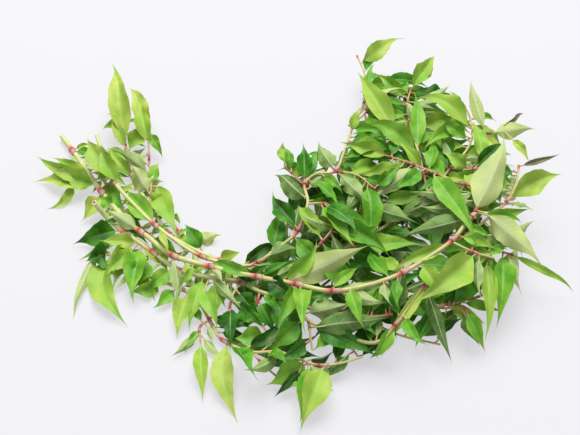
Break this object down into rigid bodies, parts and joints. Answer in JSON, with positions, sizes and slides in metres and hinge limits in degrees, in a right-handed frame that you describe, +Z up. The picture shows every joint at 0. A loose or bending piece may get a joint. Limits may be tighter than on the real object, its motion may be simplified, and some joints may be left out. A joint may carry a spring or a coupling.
{
  "type": "laksa leaf bunch",
  "caption": "Loose untied bunch of cut laksa leaf, jointed stems and lance-shaped leaves lying together in a U on a flat surface.",
  "frame": {"origin": "middle of the bunch's footprint, on the surface it lies on", "axes": "+X along the bunch from the cut ends' side to the leafy heads' side, +Y away from the front, where the U opens, +Z up"},
  "size_m": [0.386, 0.3326, 0.0559],
  "materials": {
    "stem_front": "fresh light green leaves on a pale jointed stem",
    "stem_back": "fresh light green leaves on a yellow-green stem",
    "stem_thick": "fresh green leaves on a thick pale stem",
    "stem_middle": "fresh green leaves on a pale stem",
    "stem_inner": "deep green leaves on a pale stem",
    "stem_outer": "fresh yellow-green leaves on a thin pale stem",
    "stem_right": "deep green leaves on a pale stem"
  },
  "bodies": {
    "root": {"stem_front": "stem_front", "stem_back": "stem_back", "stem_thick": "stem_thick", "stem_middle": "stem_middle", "stem_inner": "stem_inner", "stem_outer": "stem_outer", "stem_right": "stem_right"}
  },
  "joints": []
}
